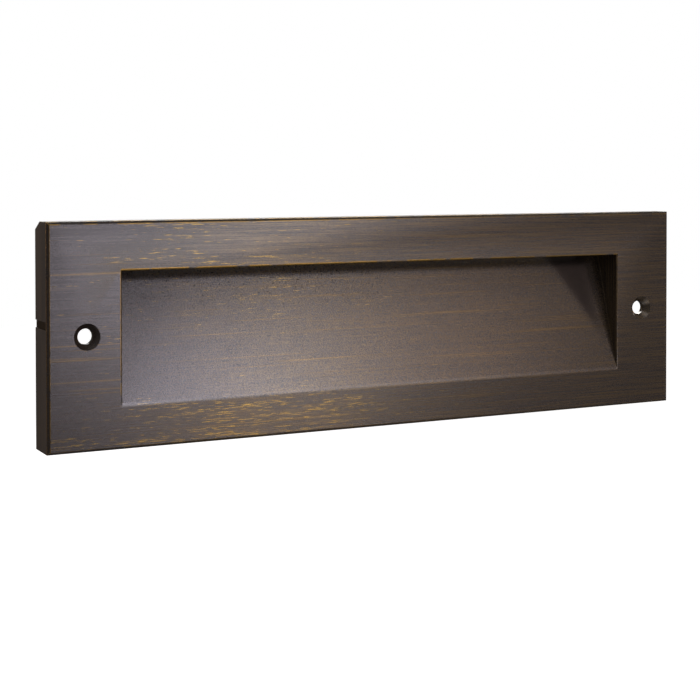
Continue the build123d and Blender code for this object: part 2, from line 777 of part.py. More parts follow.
# ---- plug in the slot for the supply lead, with a lip behind the side wall ----
with BuildPart() as lead_slot_plug:
    plug_depth = depth - lead_slot_web - plug_wall_gap - plug_gap
    plug_lip_height = lead_slot_height + 2 * plug_lip_overhang
    plug_z = lead_slot_centre
    with BuildSketch(Plane.XZ.offset(plug_wall_gap)):
        plug_left = -length / 2 + plug_face_recess
        plug_right = -end_bay_outer + plug_gap
        with Locations(((plug_left + plug_right) / 2, plug_z)):
            Rectangle(plug_right - plug_left, lead_slot_height - 2 * plug_gap)
    extrude(amount=plug_depth)
    with BuildSketch(Plane.XZ.offset(plug_wall_gap)):
        with Locations((plug_right + plug_lip_thickness / 2, plug_z)):
            Rectangle(plug_lip_thickness, plug_lip_height)
    extrude(amount=bay_floor - plug_wall_gap - plug_gap)
lead_slot_plug.part.label = "lead_slot_plug"
export_step(lead_slot_plug.part, "parts/lead_slot_plug.step")
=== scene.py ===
"""Looks of the step light: a bronzed brass casting with a sloped scoop, seen from its left.

The CAD frame is used as it is: metres, origin in the middle of the wall face,
+X along the light, +Y into the wall, +Z up. Lengths below are millimetres times MM.
"""
from math import cos, pi, radians, sin, tan

import bmesh
import bpy
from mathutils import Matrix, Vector


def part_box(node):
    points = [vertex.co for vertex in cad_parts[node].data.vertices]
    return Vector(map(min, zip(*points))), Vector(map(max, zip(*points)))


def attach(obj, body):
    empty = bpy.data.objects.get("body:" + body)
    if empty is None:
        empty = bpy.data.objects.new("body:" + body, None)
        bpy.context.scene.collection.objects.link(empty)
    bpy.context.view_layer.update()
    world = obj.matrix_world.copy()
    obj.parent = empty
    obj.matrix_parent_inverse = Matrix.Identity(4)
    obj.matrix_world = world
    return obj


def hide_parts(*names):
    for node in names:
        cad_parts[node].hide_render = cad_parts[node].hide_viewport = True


MM = 0.001
PICTURE = 700  # width and height of the photograph, in pixels
MERGE_DISTANCE = 1e-6
SEED = 7  # of the chance by which screws and rivets are turned
SMOOTH_UP_TO = 30.0  # degrees, on the small pieces that repeat
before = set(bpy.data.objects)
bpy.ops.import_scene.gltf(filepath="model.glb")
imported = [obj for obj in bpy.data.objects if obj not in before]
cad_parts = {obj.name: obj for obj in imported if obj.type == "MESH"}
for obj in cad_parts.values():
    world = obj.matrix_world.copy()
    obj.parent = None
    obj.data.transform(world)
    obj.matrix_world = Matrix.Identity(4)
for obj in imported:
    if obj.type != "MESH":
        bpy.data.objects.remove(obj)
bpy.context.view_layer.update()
scene = bpy.context.scene

# ---- sizes that the looks share with the casting ----
HALF_LENGTH = 127.0 * MM
HALF_HEIGHT = 38.1 * MM
DEPTH = 14.0 * MM
FRONT_CHAMFER = 0.9 * MM
MOUTH_CHAMFER = 0.4 * MM
SCOOP_HALF = 101.5 * MM
SCOOP_TOP = 21.4 * MM
SCOOP_BOTTOM = -23.8 * MM
SCOOP_DEPTH = 12.6 * MM
HOLE_X = 113.5 * MM
HOLE_HEAD_RADIUS = 4.5 * MM
SEAL_BEVEL_HEIGHT = 2.8 * MM
SEAL_BEVEL_DEPTH = 5.6 * MM


# ---- node helpers ----
def feed(tree, socket, value):
    """Links the value to the socket, or sets it there if it is a plain one."""
    if isinstance(value, bpy.types.NodeSocket):
        tree.links.new(value, socket)
    else:
        socket.default_value = value


def add_node(tree, kind, values=(), **settings):
    """A node of that kind with its settings, and its inputs filled from values or links."""
    node = tree.nodes.new(kind)
    for name, value in settings.items():
        setattr(node, name, value)
    for key, value in dict(values).items():
        feed(tree, node.inputs[key], value)
    return node


def math_node(tree, operation, a, b=0.0, c=0.0):
    """One arithmetic step, as its output socket."""
    return add_node(tree, "ShaderNodeMath", {0: a, 1: b, 2: c}, operation=operation).outputs[0]


def times(tree, a, b):
    """The product of two values."""
    return math_node(tree, "MULTIPLY", a, b)


def scaled(tree, value, factor, added):
    """The value times a factor, with something added."""
    return math_node(tree, "MULTIPLY_ADD", value, factor, added)


def largest(tree, first, *others):
    """The largest of some values."""
    for value in others:
        first = math_node(tree, "MAXIMUM", first, value)
    return first


def ramp_between(tree, value, low, high, to_low=0.0, to_high=1.0):
    """The value mapped smoothly from low..high to to_low..to_high."""
    values = {"Value": value, "From Min": low, "From Max": high, "To Min": to_low, "To Max": to_high}
    return add_node(tree, "ShaderNodeMapRange", values, interpolation_type="SMOOTHSTEP").outputs["Result"]


def split(tree, vector):
    """A vector's X, Y and Z, as output sockets."""
    return add_node(tree, "ShaderNodeSeparateXYZ", {0: vector}).outputs


def mix_colour(tree, factor, a, b):
    """Two colours mixed by a factor, as an output socket."""
    return add_node(tree, "ShaderNodeMix", {0: factor, 6: a, 7: b}, data_type="RGBA").outputs[2]


def above(tree, value, level, soft):
    """1 where the value is over a level, with a soft step."""
    return ramp_between(tree, value, level, math_node(tree, "ADD", level, soft))


def even_noise(tree, vector, scale, detail):
    """Noise, 0 to 1, at one scale per metre."""
    values = {"Vector": vector, "Scale": scale, "Detail": detail}
    return add_node(tree, "ShaderNodeTexNoise", values).outputs[0]


def noise(tree, vector, scale, detail, offset=(0.0, 0.0, 0.0)):
    """Noise, 0 to 1, whose scale per metre differs along X, Y and Z."""
    mapping = add_node(tree, "ShaderNodeMapping", {"Vector": vector, "Scale": scale, "Location": offset})
    return even_noise(tree, mapping.outputs[0], 1.0, detail)


def new_group(name, inputs, outputs):
    """A shader group with named sockets: inputs with their usual values (None for a vector) and outputs."""
    tree = bpy.data.node_groups.new(name, "ShaderNodeTree")
    for socket_name, value in inputs.items():
        kind = "NodeSocketVector" if value is None else "NodeSocketFloat"
        socket = tree.interface.new_socket(socket_name, in_out="INPUT", socket_type=kind)
        if value is not None:
            socket.default_value = value
    for socket_name in outputs:
        tree.interface.new_socket(socket_name, in_out="OUTPUT", socket_type="NodeSocketFloat")
    return tree, tree.nodes.new("NodeGroupInput").outputs, tree.nodes.new("NodeGroupOutput").inputs


def use_group(tree, group, **values):
    """The group placed in a material with its own values, as its output sockets."""
    named = {key.capitalize(): value for key, value in values.items()}
    return add_node(tree, "ShaderNodeGroup", named, node_tree=group).outputs


# ---- shared effects ----
def brushed_grain_group():
    """Fine lines and broader bands along X, as a belt leaves them on metal."""
    tree, given, out = new_group("brushed_grain", {"Vector": None, "Along": 45.0, "Across": 1700.0},
                                 ("Lines", "Bands"))
    for name, share, detail in (("Lines", 1.0, 4.0), ("Bands", 0.22, 2.0)):
        along, across = [times(tree, given[way], share) for way in ("Along", "Across")]
        scale = add_node(tree, "ShaderNodeCombineXYZ", {0: along, 1: across, 2: across}).outputs[0]
        values = {0: given["Vector"], 1: scale}
        stretched = add_node(tree, "ShaderNodeVectorMath", values, operation="MULTIPLY").outputs[0]
        grain = even_noise(tree, stretched, 1.0, detail)
        tree.links.new(ramp_between(tree, grain, 0.28, 0.72), out[name])
    return tree


def worn_streaks_group():
    """Short dashes along X where the belt went through the patina to bare brass."""
    tree, given, out = new_group("worn_streaks", {"Vector": None, "Density": 0.3}, ("Streaks",))
    runs = noise(tree, given["Vector"], (80.0, 3400.0, 3400.0), 2.0, (3.1, 0.0, 0.7))
    dashes = noise(tree, given["Vector"], (300.0, 5000.0, 5000.0), 1.0, (0.0, 5.3, 1.9))
    patches = noise(tree, given["Vector"], (26.0, 150.0, 150.0), 2.0, (7.7, 2.1, 0.0))
    height = scaled(tree, dashes, 0.45, times(tree, runs, 0.55))
    height = scaled(tree, patches, 0.22, height)
    level = scaled(tree, given["Density"], -0.13, 0.822)
    tree.links.new(above(tree, height, level, 0.05), out["Streaks"])
    return tree


def hair_lines_group():
    """Long single hairs of thinner patina along X, bunched in some bands and absent in others."""
    tree, given, out = new_group("hair_lines", {"Vector": None, "Density": 0.5}, ("Hairs",))
    hairs = noise(tree, given["Vector"], (14.0, 2200.0, 2200.0), 1.0, (2.0, 6.1, 4.2))
    bands = noise(tree, given["Vector"], (9.0, 110.0, 110.0), 1.0, (5.0, 0.4, 8.8))
    height = scaled(tree, bands, 0.3, hairs)
    level = scaled(tree, given["Density"], -0.12, 0.86)
    tree.links.new(above(tree, height, level, 0.08), out["Hairs"])
    return tree


def edge_wear_group():
    """Where an edge has lost its colour: the marked edge faces, broken up along their length."""
    tree, given, out = new_group("edge_wear", {"Vector": None, "Marked": 0.0, "Amount": 0.5}, ("Worn",))
    breaks = noise(tree, given["Vector"], (160.0, 160.0, 160.0), 4.0, (1.3, 4.4, 2.2))
    level = scaled(tree, given["Amount"], -0.42, 0.70)
    tree.links.new(times(tree, above(tree, breaks, level, 0.08), given["Marked"]), out["Worn"])
    return tree


def fine_speckle_group():
    """Even fine grain in all directions, with a few deeper pits."""
    tree, given, out = new_group("fine_speckle", {"Vector": None, "Scale": 2500.0}, ("Grain", "Pits"))
    grain = even_noise(tree, given["Vector"], given["Scale"], 2.0)
    tree.links.new(ramp_between(tree, grain, 0.3, 0.7), out["Grain"])
    coarse = even_noise(tree, given["Vector"], times(tree, given["Scale"], 0.75), 1.0)
    tree.links.new(ramp_between(tree, coarse, 0.63, 0.68), out["Pits"])
    return tree


def mottle_group():
    """Slow cloudy change over tens of millimetres."""
    tree, given, out = new_group("mottle", {"Vector": None, "Scale": 30.0}, ("Cloud",))
    cloud = even_noise(tree, given["Vector"], given["Scale"], 3.0)
    tree.links.new(ramp_between(tree, cloud, 0.3, 0.7), out["Cloud"])
    return tree


BRUSHED_GRAIN = brushed_grain_group()
WORN_STREAKS = worn_streaks_group()
HAIR_LINES = hair_lines_group()
EDGE_WEAR = edge_wear_group()
FINE_SPECKLE = fine_speckle_group()
MOTTLE = mottle_group()


def new_finish(name, **constants):
    """A material with its shader's constants set, its tree and its object coordinates."""
    material = bpy.data.materials.new(name + "_finish")
    material.use_nodes = True
    tree = material.node_tree
    shader = tree.nodes["Principled BSDF"]
    for key, value in constants.items():
        shader.inputs[key.replace("_", " ")].default_value = value
    if "Anisotropic" in constants:
        # brushed along X: highlights stretch across the lines
        tangent = add_node(tree, "ShaderNodeTangent", direction_type="RADIAL", axis="X")
        tree.links.new(tangent.outputs[0], shader.inputs["Tangent"])
    return material, tree, tree.nodes.new("ShaderNodeTexCoord").outputs["Object"]


def surfaced(material, colour, tone, rough, height, relief, metal=None, span=(0.0, 1.0)):
    """The material with its colour, roughness by tone, and relief (strength and depth) from a height."""
    tree = material.node_tree
    bump = add_node(tree, "ShaderNodeBump", {"Height": height, "Strength": relief[0], "Distance": relief[1]})
    values = {"Base Color": colour, "Roughness": ramp_between(tree, tone, *span, *rough),
              "Metallic": metal, "Normal": bump.outputs[0]}
    for name, value in values.items():
        if value is not None:
            tree.links.new(value, tree.nodes["Principled BSDF"].inputs[name])
    return material


def plain_finish(name, dark, light, rough, speckle=2500.0, cloud=60.0, bump=0.15, depth=0.03 * MM,
                 **constants):
    """Moulded, sprayed or sawn surfaces: speckle and clouds in colour, roughness and height."""
    material, tree, place = new_finish(name, **constants)
    grain = use_group(tree, FINE_SPECKLE, vector=place, scale=speckle)["Grain"]
    clouds = use_group(tree, MOTTLE, vector=place, scale=cloud)["Cloud"]
    tone = scaled(tree, clouds, 0.6, times(tree, grain, 0.4))
    colour = mix_colour(tree, tone, (*dark, 1), (*light, 1))
    return surfaced(material, colour, tone, rough, grain, (bump, depth))


# ---- camera ----
def photograph_camera():
    """The camera of the photograph, solved from the outline, the scoop and the two holes."""
    focal_px = 1492.0
    centre_y_px = 200.0
    camera = bpy.data.objects.new("photograph_camera", bpy.data.cameras.new("photograph_camera"))
    camera.data.lens = camera.data.sensor_width * focal_px / PICTURE
    camera.data.shift_y = (centre_y_px - PICTURE / 2) / PICTURE
    camera.data.clip_start = 0.01
    camera.location = (-259.0 * MM, -489.4 * MM, 54.7 * MM)
    camera.rotation_euler = (radians(90 - 1.13), radians(0.06), radians(-27.03))
    scene.collection.objects.link(camera)
    scene.camera = camera


# ---- light and floor ----
BOX_DISTANCE = 1.6  # from the origin to each soft box
COOL, CLEAR, PALE = (0.93, 0.86, 1.0), (0.97, 0.95, 1.0), (1.0, 0.94, 0.98)
ROSE, WARM, AMBER = (1.0, 0.86, 0.84), (1.0, 0.76, 0.70), (1.0, 0.66, 0.38)
WHITE = (1.0, 1.0, 1.0)
# azimuth, elevation, width and height in degrees, radiance and tint
SOFT_BOXES = (
    # level with the light: mirrored in the casting's front, brightest left of its middle
    (14.0, -3, 6, 10, 2.9, COOL), (19.0, -3, 5, 10, 1.6, CLEAR), (23.5, -3, 4, 10, 4.4, PALE),
    (28.0, -3, 5, 10, 1.6, ROSE), (34.0, -3, 8, 10, 0.32, WARM), (46.0, -3, 16, 10, 0.06, WARM),
    (21.2, -14, 9, 12, 0.93, AMBER),
    # higher: mirrored in the slope, which leans back
    (14.5, 17, 5, 10, 1.9, COOL), (19.0, 17, 5, 10, 5.5, COOL), (23.5, 17, 4, 10, 5.3, CLEAR),
    (28.0, 17, 5, 10, 2.1, ROSE), (34.0, 17, 8, 10, 1.05, WARM), (28.0, 30, 5, 14, 0.75, AMBER),
    (64.0, 30, 16, 14, 2.4, WARM),
    # the left side wall, and the back
    (-125, 12, 22, 22, 5.4, AMBER), (158, 38, 40, 40, 5.1, WHITE),
)
FLOOR_REACH, FLOOR_LEVEL = 4.0, -0.42  # half the floor's width, and its height under the origin


def soft_box(name, azimuth, elevation, wide, high, radiance, tint):
    """A soft box that faces the origin, with its place and its size given in degrees as seen from there."""
    a, e = radians(azimuth), radians(elevation)
    place = BOX_DISTANCE * Vector((sin(a) * cos(e), -cos(a) * cos(e), sin(e)))
    data = bpy.data.lights.new(name, "AREA")
    data.shape = "RECTANGLE"
    size = [2 * BOX_DISTANCE * tan(radians(angle / 2)) for angle in (wide, high)]
    data.size, data.size_y = size
    data.energy = pi * radiance * size[0] * size[1]
    data.color = tint
    box = bpy.data.objects.new(name, data)
    box.location = place
    box.rotation_euler = place.to_track_quat("Z", "Y").to_euler()
    box.visible_camera = False
    scene.collection.objects.link(box)


def surroundings():
    """White to the camera; to the light itself dim, with a warm fill."""
    scene.view_settings.view_transform = "Standard"
    world = bpy.data.worlds.new("studio")
    scene.world = world
    world.use_nodes = True
    tree = world.node_tree
    tree.nodes.clear()
    toward = split(tree, tree.nodes.new("ShaderNodeTexCoord").outputs["Generated"])
    fill = ramp_between(tree, toward["Z"], -0.2, 0.4, 0.07, 0.10)
    # brighter low down and high up in front, which only the views from above and below see mirrored
    in_front = ramp_between(tree, toward["Y"], -0.2, -0.45, 0.0, 0.8)
    for start, end in ((-0.5, -0.75), (0.6, 0.8)):
        fill = scaled(tree, ramp_between(tree, toward["Z"], start, end), in_front, fill)
    ambient, seen = [add_node(tree, "ShaderNodeBackground", {0: colour, 1: strength}).outputs[0]
                     for colour, strength in (((1.0, 0.92, 0.88, 1), fill), ((1, 1, 1, 1), 1.0))]
    to_camera = tree.nodes.new("ShaderNodeLightPath").outputs["Is Camera Ray"]
    mix = add_node(tree, "ShaderNodeMixShader", {0: to_camera, 1: ambient, 2: seen})
    tree.links.new(mix.outputs[0], tree.nodes.new("ShaderNodeOutputWorld").inputs[0])


def pale_floor():
    """A wide pale floor well below the light, which throws nothing back on it."""
    mesh = bpy.data.meshes.new("floor")
    corners = rectangle(-FLOOR_REACH, -FLOOR_REACH, FLOOR_REACH, FLOOR_REACH)
    mesh.from_pydata([(x, y, FLOOR_LEVEL) for x, y in corners], [], [(0, 1, 2, 3)])
    floor = bpy.data.objects.new("floor", mesh)
    scene.collection.objects.link(floor)
    floor.visible_glossy = False
    floor.visible_diffuse = False
    material = plain_finish("pale_floor", (0.86, 0.86, 0.86), (0.92, 0.92, 0.92), (0.7, 0.85), 200.0, 2.0)
    shader = material.node_tree.nodes["Principled BSDF"]
    shader.inputs["Emission Color"].default_value = (1, 1, 1, 1)
    shader.inputs["Emission Strength"].default_value = 0.9
    mesh.materials.append(material)


# ---- finishes ----
DARK_PATINA = (0.022, 0.015, 0.013, 1)
LIGHT_PATINA = (0.056, 0.041, 0.038, 1)
# colour of the painted shadow in the scoop's upper corners
SHADOW_PAINT = (0.040, 0.031, 0.028, 1)
PIT = (0.008, 0.006, 0.006, 1)
THIN_PATINA = (0.222, 0.163, 0.088, 1)
DULL_BRASS = (0.390, 0.285, 0.105, 1)
BARE_BRASS = (0.420, 0.260, 0.055, 1)


def marked(tree, name):
    """A number stored on the piece's faces."""
    return add_node(tree, "ShaderNodeAttribute", attribute_name=name).outputs["Fac"]


def rim_of_the_front(tree, at):
    """A hair's width of the front face along its edges: round the scoop, along the top and down the left."""
    x, y, z = at["X"], at["Y"], at["Z"]
    front = ramp_between(tree, y, -DEPTH + 0.2 * MM, -DEPTH + 0.05 * MM)
    over = math_node(tree, "SUBTRACT", z, SCOOP_TOP + MOUTH_CHAMFER)
    left = math_node(tree, "SUBTRACT", -SCOOP_HALF - MOUTH_CHAMFER, x)
    inside = math_node(tree, "LESS_THAN", math_node(tree, "ABSOLUTE", x), SCOOP_HALF + MOUTH_CHAMFER)
    beside = math_node(tree, "COMPARE", z, (SCOOP_TOP + SCOOP_BOTTOM) / 2,
                       (SCOOP_TOP - SCOOP_BOTTOM) / 2 + MOUTH_CHAMFER)
    lip = times(tree, ramp_between(tree, over, 0.38 * MM, 0.26 * MM), inside)
    lip = times(tree, lip, math_node(tree, "GREATER_THAN", over, 0.0))
    lip = times(tree, lip, ramp_between(tree, x, 75 * MM, 20 * MM, 0.35, 0.85))
    post = times(tree, ramp_between(tree, left, 0.4 * MM, 0.2 * MM), beside)
    post = times(tree, post, math_node(tree, "GREATER_THAN", left, 0.0))
    top, end = [ramp_between(tree, math_node(tree, "SUBTRACT", *pair), -0.35 * MM, -0.15 * MM)
                for pair in ((z, HALF_HEIGHT - FRONT_CHAMFER), (FRONT_CHAMFER - HALF_LENGTH, x))]
    top = times(tree, top, ramp_between(tree, x, 20 * MM, -20 * MM, 0.1, 0.6))
    rim = largest(tree, lip, times(tree, post, 0.55), top, times(tree, end, 0.5))
    return times(tree, rim, front)


def bronzed_brass():
    """Brushed brass under dark brown patina, thinner along the grain, worn through in dashes and on edges."""
    material, tree, place = new_finish("bronzed_brass", IOR=1.7, Specular_IOR_Level=0.8, Anisotropic=0.3)
    edge, slope = marked(tree, "edge"), marked(tree, "slope")
    at = split(tree, place)
    # the ends are brushed up and down, all the rest lengthwise
    upright = add_node(tree, "ShaderNodeCombineXYZ", {0: at["Z"], 1: at["Y"], 2: at["X"]}).outputs[0]
    values = {0: marked(tree, "end"), 4: place, 5: upright}
    lengthwise = add_node(tree, "ShaderNodeMix", values, data_type="VECTOR").outputs[1]
    grain = use_group(tree, BRUSHED_GRAIN, vector=lengthwise, along=36.0, across=3200.0)
    speckle = use_group(tree, FINE_SPECKLE, vector=place, scale=2700.0)
    clouds = use_group(tree, MOTTLE, vector=place, scale=34.0)["Cloud"]
    hairs = use_group(tree, HAIR_LINES, vector=lengthwise, density=scaled(tree, slope, 0.45, 0.38))["Hairs"]
    # the slope's lines start some way in from its left edge
    missed = ramp_between(tree, at["X"], 6 * MM - SCOOP_HALF, 26 * MM - SCOOP_HALF, 0.9, 0.0)
    kept = math_node(tree, "SUBTRACT", 1.0, times(tree, missed, slope))
    hairs = times(tree, hairs, kept)

    # dashes are dense left of the middle and low down, rare at the right end
    left_of_middle = ramp_between(tree, at["X"], 60 * MM, -50 * MM)
    low_down = ramp_between(tree, at["Z"], -18 * MM, -27 * MM)
    far_left = ramp_between(tree, at["X"], -85 * MM, -112 * MM)
    busy = scaled(tree, low_down, 0.45, 0.65)
    on_the_slope = ramp_between(tree, at["Z"], 5 * MM, -5 * MM, 0.05, -0.45)
    busy = math_node(tree, "ADD", busy, times(tree, on_the_slope, slope))
    busy = scaled(tree, far_left, -0.4, busy)
    busy = scaled(tree, left_of_middle, busy, 0.1)
    streaks = use_group(tree, WORN_STREAKS, vector=lengthwise, density=busy)["Streaks"]
    rubbed_edge = largest(tree, edge, rim_of_the_front(tree, at))
    worn = use_group(tree, EDGE_WEAR, vector=place, marked=rubbed_edge, amount=0.7)["Worn"]

    # painted shadow of the scoop's end walls in its upper corners, as far as a line that slants down to each
    # end wall:
    # dark at the right, lighter again right beside the wall, and faint at the left
    shadow_edge = scaled(tree, math_node(tree, "ADD", at["Y"], DEPTH), 2.4, -4.4 * MM)
    from_right = math_node(tree, "SUBTRACT", SCOOP_HALF, at["X"])
    from_left = math_node(tree, "ADD", at["X"], SCOOP_HALF)
    # thick: the right end wall's painted shadow
    thick = ramp_between(tree, math_node(tree, "SUBTRACT", from_right, shadow_edge), 3.0 * MM, -3.5 * MM, 0.0, 0.8)
    thick = times(tree, thick, ramp_between(tree, from_right, 1 * MM, 11 * MM, 0.25, 1.0))
    left_wall_shadow = ramp_between(tree, math_node(tree, "SUBTRACT", from_left, shadow_edge), 9 * MM, -3 * MM, 0.0, 0.13)
    painted_shadow = times(tree, largest(tree, thick, left_wall_shadow), slope)

    # the slope was blasted as well as brushed, so grains cover most of its lines
    fine = mix_colour(tree, scaled(tree, slope, 0.35, 0.4), grain["Lines"], speckle["Grain"])
    tone = scaled(tree, fine, 0.88, times(tree, clouds, 0.06))
    tone = scaled(tree, grain["Bands"], 0.06, tone)
    golden = ramp_between(tree, at["X"], -108 * MM, -40 * MM, 0.1, 1.0)
    thin = times(tree, ramp_between(tree, tone, 0.25, 0.90), golden)
    thin = largest(tree, thin, hairs)
    thin = times(tree, thin, scaled(tree, painted_shadow, -0.8, 1.0))
    colour = mix_colour(tree, tone, DARK_PATINA, LIGHT_PATINA)
    colour = mix_colour(tree, thin, colour, THIN_PATINA)
    colour = mix_colour(tree, streaks, colour, DULL_BRASS)
    colour = mix_colour(tree, worn, colour, BARE_BRASS)
    # the painted shadow darkens the scoop's upper corners
    colour = mix_colour(tree, painted_shadow, colour, SHADOW_PAINT)
    pitted = times(tree, ramp_between(tree, at["Z"], 2 * MM, 12 * MM, 0.1, 1.0), slope)
    pitted = times(tree, pitted, ramp_between(tree, at["X"], 20 * MM, -20 * MM, 0.3, 1.0))
    pits = times(tree, speckle["Pits"], pitted)
    colour = mix_colour(tree, pits, colour, PIT)
    metal = largest(tree, times(tree, hairs, 0.7), times(tree, thin, 0.5), times(tree, painted_shadow, 0.9),
                    streaks, worn, pits)
    return surfaced(material, colour, tone, (0.26, 0.20), fine, (0.3, 0.015 * MM), metal, (0.1, 0.9))


def raw_casting():
    """The inside as it left the sand: coarse, dull, brown yellow."""
    return plain_finish("raw_brass_casting", (0.075, 0.052, 0.026), (0.17, 0.118, 0.055), (0.55, 0.75),
                        900.0, 70.0, 0.5, 0.08 * MM, Metallic=0.6)


def satin_brass():
    """The closing plate: brass brushed along its length, slightly tarnished."""
    material, tree, place = new_finish("satin_brass", Metallic=1.0, Anisotropic=0.5)
    grain = use_group(tree, BRUSHED_GRAIN, vector=place, along=30.0, across=1300.0)
    clouds = use_group(tree, MOTTLE, vector=place, scale=28.0)["Cloud"]
    tone = scaled(tree, grain["Lines"], 0.75, times(tree, grain["Bands"], 0.25))
    colour = mix_colour(tree, tone, (0.54, 0.37, 0.15, 1), (0.70, 0.50, 0.22, 1))
    tarnish = times(tree, ramp_between(tree, clouds, 0.3, 1.0), 0.25)
    colour = mix_colour(tree, tarnish, colour, (0.22, 0.13, 0.06, 1))
    return surfaced(material, colour, tone, (0.36, 0.48), grain["Lines"], (0.2, 0.02 * MM))


def turned_steel():
    """Stainless screws: pale grey metal with fine tool marks."""
    material, tree, place = new_finish("stainless_steel", Metallic=1.0)
    grain = use_group(tree, FINE_SPECKLE, vector=place, scale=4200.0)["Grain"]
    clouds = use_group(tree, MOTTLE, vector=place, scale=180.0)["Cloud"]
    tone = scaled(tree, grain, 0.5, times(tree, clouds, 0.5))
    colour = mix_colour(tree, tone, (0.42, 0.41, 0.39, 1), (0.62, 0.61, 0.59, 1))
    return surfaced(material, colour, tone, (0.24, 0.38), grain, (0.1, 0.01 * MM))


def drawn_aluminium():
    """The channels and rivets: drawn along X, matt."""
    material, tree, place = new_finish("aluminium", Metallic=1.0)
    grain = use_group(tree, BRUSHED_GRAIN, vector=place, along=12.0, across=900.0)
    tone = scaled(tree, grain["Lines"], 0.6, times(tree, grain["Bands"], 0.4))
    colour = mix_colour(tree, tone, (0.50, 0.51, 0.52, 1), (0.72, 0.73, 0.74, 1))
    return surfaced(material, colour, tone, (0.34, 0.50), grain["Lines"], (0.25, 0.02 * MM))


def circuit_board(name, mask_dark, mask_light, track, pitch):
    """A circuit board: solder mask with copper tracks under it and tinned pads."""
    material, tree, place = new_finish(name, Coat_Weight=0.25, Coat_Roughness=0.2)
    grain = use_group(tree, FINE_SPECKLE, vector=place, scale=3000.0)["Grain"]
    values = {"Vector": place, "Scale": pitch}
    cells = add_node(tree, "ShaderNodeTexVoronoi", values, feature="DISTANCE_TO_EDGE").outputs["Distance"]
    tracks = ramp_between(tree, cells, 0.10, 0.06)
    values = {"Vector": place, "Scale": pitch * 2.3, "Randomness": 0.6}
    dots = add_node(tree, "ShaderNodeTexVoronoi", values).outputs["Distance"]
    pads = ramp_between(tree, dots, 0.20, 0.16)
    colour = mix_colour(tree, grain, (*mask_dark, 1), (*mask_light, 1))
    colour = mix_colour(tree, tracks, colour, (*track, 1))
    colour = mix_colour(tree, times(tree, pads, 0.8), colour, (0.55, 0.55, 0.53, 1))
    relief = largest(tree, tracks, pads)
    return surfaced(material, colour, grain, (0.32, 0.45), relief, (0.3, 0.04 * MM), times(tree, pads, 0.7))


def frosted_lens():
    """Opal moulded lens: light passes, shapes don't."""
    material, tree, place = new_finish("frosted_lens", Transmission_Weight=0.35, IOR=1.49)
    grain = use_group(tree, FINE_SPECKLE, vector=place, scale=3500.0)["Grain"]
    clouds = use_group(tree, MOTTLE, vector=place, scale=40.0)["Cloud"]
    colour = mix_colour(tree, clouds, (0.74, 0.75, 0.74, 1), (0.84, 0.85, 0.84, 1))
    return surfaced(material, colour, grain, (0.42, 0.58), grain, (0.2, 0.02 * MM))


def capacitor_can():
    """Aluminium can with a black moulded foot and a dark half moon on its end."""
    material, tree, place = new_finish("capacitor_can")
    grain = use_group(tree, BRUSHED_GRAIN, vector=place, along=300.0, across=1500.0)["Lines"]
    # the foot's top, the can's end and the middle of both cans, as they stand in the CAD
    at = split(tree, place)
    can = ramp_between(tree, at["Y"], -5.2 * MM, -5.35 * MM)
    end = ramp_between(tree, at["Y"], -9.45 * MM, -9.55 * MM)
    dark_half = times(tree, end, ramp_between(tree, at["Z"], -20.6 * MM, -20.8 * MM))
    colour = mix_colour(tree, grain, (0.62, 0.63, 0.64, 1), (0.78, 0.79, 0.80, 1))
    colour = mix_colour(tree, can, (0.02, 0.02, 0.022, 1), colour)
    colour = mix_colour(tree, dark_half, colour, (0.03, 0.03, 0.04, 1))
    bright = times(tree, can, math_node(tree, "SUBTRACT", 1.0, dark_half))
    return surfaced(material, colour, grain, (0.28, 0.42), grain, (0.15, 0.02 * MM), bright)


def ceramic_fuse():
    """White ceramic tube between two plated caps."""
    material, tree, place = new_finish("ceramic_fuse")
    clouds = use_group(tree, MOTTLE, vector=place, scale=300.0)["Cloud"]
    middle_x, half_tube, soft = -75.39 * MM, 1.8 * MM, 0.05 * MM
    from_middle = math_node(tree, "ABSOLUTE", math_node(tree, "SUBTRACT", split(tree, place)["X"], middle_x))
    cap = ramp_between(tree, from_middle, half_tube - soft, half_tube + soft)
    ceramic = mix_colour(tree, clouds, (0.66, 0.64, 0.60, 1), (0.80, 0.79, 0.76, 1))
    colour = mix_colour(tree, cap, ceramic, (0.60, 0.58, 0.55, 1))
    return surfaced(material, colour, clouds, (0.30, 0.45), cap, (0.4, 0.1 * MM), cap)


def fish_paper():
    """Pressed fibre sheet: grey, with long fibres in all directions."""
    material, tree, place = new_finish("fish_paper")
    one_way = noise(tree, place, (260.0, 900.0, 2600.0), 4.0)
    other_way = noise(tree, place, (2600.0, 900.0, 300.0), 4.0, (4.0, 1.0, 7.0))
    fibres = ramp_between(tree, largest(tree, one_way, other_way), 0.45, 0.75)
    colour = mix_colour(tree, fibres, (0.10, 0.105, 0.10, 1), (0.24, 0.245, 0.23, 1))
    return surfaced(material, colour, fibres, (0.85, 0.68), fibres, (0.35, 0.03 * MM))


FINISHES = {
    "bronzed_brass": bronzed_brass(),
    "raw_brass_casting": raw_casting(),
    "satin_brass": satin_brass(),
    "stainless_steel": turned_steel(),
    "aluminium": drawn_aluminium(),
    "frosted_lens": frosted_lens(),
    "white_board": circuit_board("white_board", (0.74, 0.75, 0.73), (0.82, 0.83, 0.81),
                                 (0.66, 0.67, 0.64), 230.0),
    "green_board": circuit_board("green_board", (0.010, 0.075, 0.030), (0.018, 0.110, 0.045),
                                 (0.035, 0.190, 0.070), 260.0),
    "capacitor_can": capacitor_can(),
    "ceramic_fuse": ceramic_fuse(),
    "fish_paper": fish_paper(),
}
